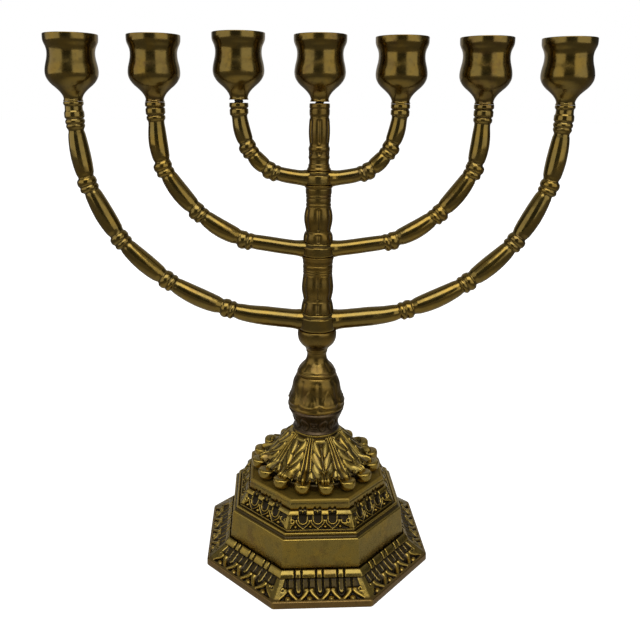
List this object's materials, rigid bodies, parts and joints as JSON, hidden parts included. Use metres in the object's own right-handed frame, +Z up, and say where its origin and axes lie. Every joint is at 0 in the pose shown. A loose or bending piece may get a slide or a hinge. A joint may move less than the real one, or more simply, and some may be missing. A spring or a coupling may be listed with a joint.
{
  "type": "menorah",
  "caption": "Branched candelabrum with curved arms, screw-on candle cups and a stepped octagonal base with a leaf dome.",
  "frame": {"origin": "middle of the base's underside, on the column's axis", "axes": "+Z up along the column, +X along the row of cups, -Y towards the viewer"},
  "size_m": [0.287, 0.1238, 0.2856],
  "materials": {
    "brass_cast": "antiqued cast, worn bright on the high spots",
    "brass_branch": "antiqued, smooth",
    "brass_polished": "antiqued, turned and polished",
    "brass_dark": "dark patina",
    "steel": "dull, oily dark"
  },
  "bodies": {
    "column": {"base_pedestal": "brass_cast", "leaf_dome": "brass_cast", "collar": "brass_dark", "knop": "brass_cast", "neck": "brass_cast", "spacer_lower": "brass_cast", "spacer_upper": "brass_cast", "stem_top": "brass_cast", "tie_rod": "steel", "washer": "steel", "nut": "steel"},
    "branch_inner": {"branch_inner": "brass_branch"},
    "branch_middle": {"branch_middle": "brass_branch"},
    "branch_outer": {"branch_outer": "brass_branch"},
    "stud_1": {"stud_1": "steel"},
    "cup_1": {"cup_1": "brass_polished"},
    "stud_2": {"stud_2": "steel"},
    "cup_2": {"cup_2": "brass_polished"},
    "stud_3": {"stud_3": "steel"},
    "cup_3": {"cup_3": "brass_polished"},
    "stud_4": {"stud_4": "steel"},
    "cup_4": {"cup_4": "brass_polished"},
    "stud_5": {"stud_5": "steel"},
    "cup_5": {"cup_5": "brass_polished"},
    "stud_6": {"stud_6": "steel"},
    "cup_6": {"cup_6": "brass_polished"},
    "stud_7": {"stud_7": "steel"},
    "cup_7": {"cup_7": "brass_polished"}
  },
  "joints": [
    {"name": "branch_inner_swivel", "type": "hinge", "parent": "column", "child": "branch_inner", "pos_m": [0, 0, 0.2105], "axis": [0, 0, 1], "continuous": true},
    {"name": "branch_middle_swivel", "type": "hinge", "parent": "column", "child": "branch_middle", "pos_m": [0, 0, 0.1717], "axis": [0, 0, 1], "continuous": true},
    {"name": "branch_outer_swivel", "type": "hinge", "parent": "column", "child": "branch_outer", "pos_m": [0, 0, 0.1312], "axis": [0, 0, 1], "continuous": true},
    {"name": "cup_1_screw", "type": "hinge", "parent": "branch_outer", "child": "stud_1", "pos_m": [-0.1296, 0, 0.2498], "axis": [0, 0, 1], "range_deg": [0, 2160]},
    {"name": "cup_1_lift", "type": "slide", "parent": "stud_1", "child": "cup_1", "axis": [0, 0, 1], "range_m": [0, 0.006]},
    {"name": "cup_2_screw", "type": "hinge", "parent": "branch_middle", "child": "stud_2", "pos_m": [-0.0867, 0, 0.2498], "axis": [0, 0, 1], "range_deg": [0, 2160]},
    {"name": "cup_2_lift", "type": "slide", "parent": "stud_2", "child": "cup_2", "axis": [0, 0, 1], "range_m": [0, 0.006]},
    {"name": "cup_3_screw", "type": "hinge", "parent": "branch_inner", "child": "stud_3", "pos_m": [-0.0426, 0, 0.2498], "axis": [0, 0, 1], "range_deg": [-540, 1620]},
    {"name": "cup_3_lift", "type": "slide", "parent": "stud_3", "child": "cup_3", "axis": [0, 0, 1], "range_m": [-0.0015, 0.0045]},
    {"name": "cup_4_screw", "type": "hinge", "parent": "column", "child": "stud_4", "pos_m": [0, 0, 0.2498], "axis": [0, 0, 1], "range_deg": [-270, 1890]},
    {"name": "cup_4_lift", "type": "slide", "parent": "stud_4", "child": "cup_4", "axis": [0, 0, 1], "range_m": [-0.00075, 0.00525]},
    {"name": "cup_5_screw", "type": "hinge", "parent": "branch_inner", "child": "stud_5", "pos_m": [0.0426, 0, 0.2498], "axis": [0, 0, 1], "range_deg": [0, 2160]},
    {"name": "cup_5_lift", "type": "slide", "parent": "stud_5", "child": "cup_5", "axis": [0, 0, 1], "range_m": [0, 0.006]},
    {"name": "cup_6_screw", "type": "hinge", "parent": "branch_middle", "child": "stud_6", "pos_m": [0.0867, 0, 0.2498], "axis": [0, 0, 1], "range_deg": [0, 2160]},
    {"name": "cup_6_lift", "type": "slide", "parent": "stud_6", "child": "cup_6", "axis": [0, 0, 1], "range_m": [0, 0.006]},
    {"name": "cup_7_screw", "type": "hinge", "parent": "branch_outer", "child": "stud_7", "pos_m": [0.1296, 0, 0.2498], "axis": [0, 0, 1], "range_deg": [0, 2160]},
    {"name": "cup_7_lift", "type": "slide", "parent": "stud_7", "child": "cup_7", "axis": [0, 0, 1], "range_m": [0, 0.006]}
  ],
  "couplings": [
    {"joint": "cup_1_lift", "follows": "cup_1_screw", "m_per_rad": 0.00015915},
    {"joint": "cup_2_lift", "follows": "cup_2_screw", "m_per_rad": 0.00015915},
    {"joint": "cup_3_lift", "follows": "cup_3_screw", "m_per_rad": 0.00015915},
    {"joint": "cup_4_lift", "follows": "cup_4_screw", "m_per_rad": 0.00015915},
    {"joint": "cup_5_lift", "follows": "cup_5_screw", "m_per_rad": 0.00015915},
    {"joint": "cup_6_lift", "follows": "cup_6_screw", "m_per_rad": 0.00015915},
    {"joint": "cup_7_lift", "follows": "cup_7_screw", "m_per_rad": 0.00015915}
  ]
}
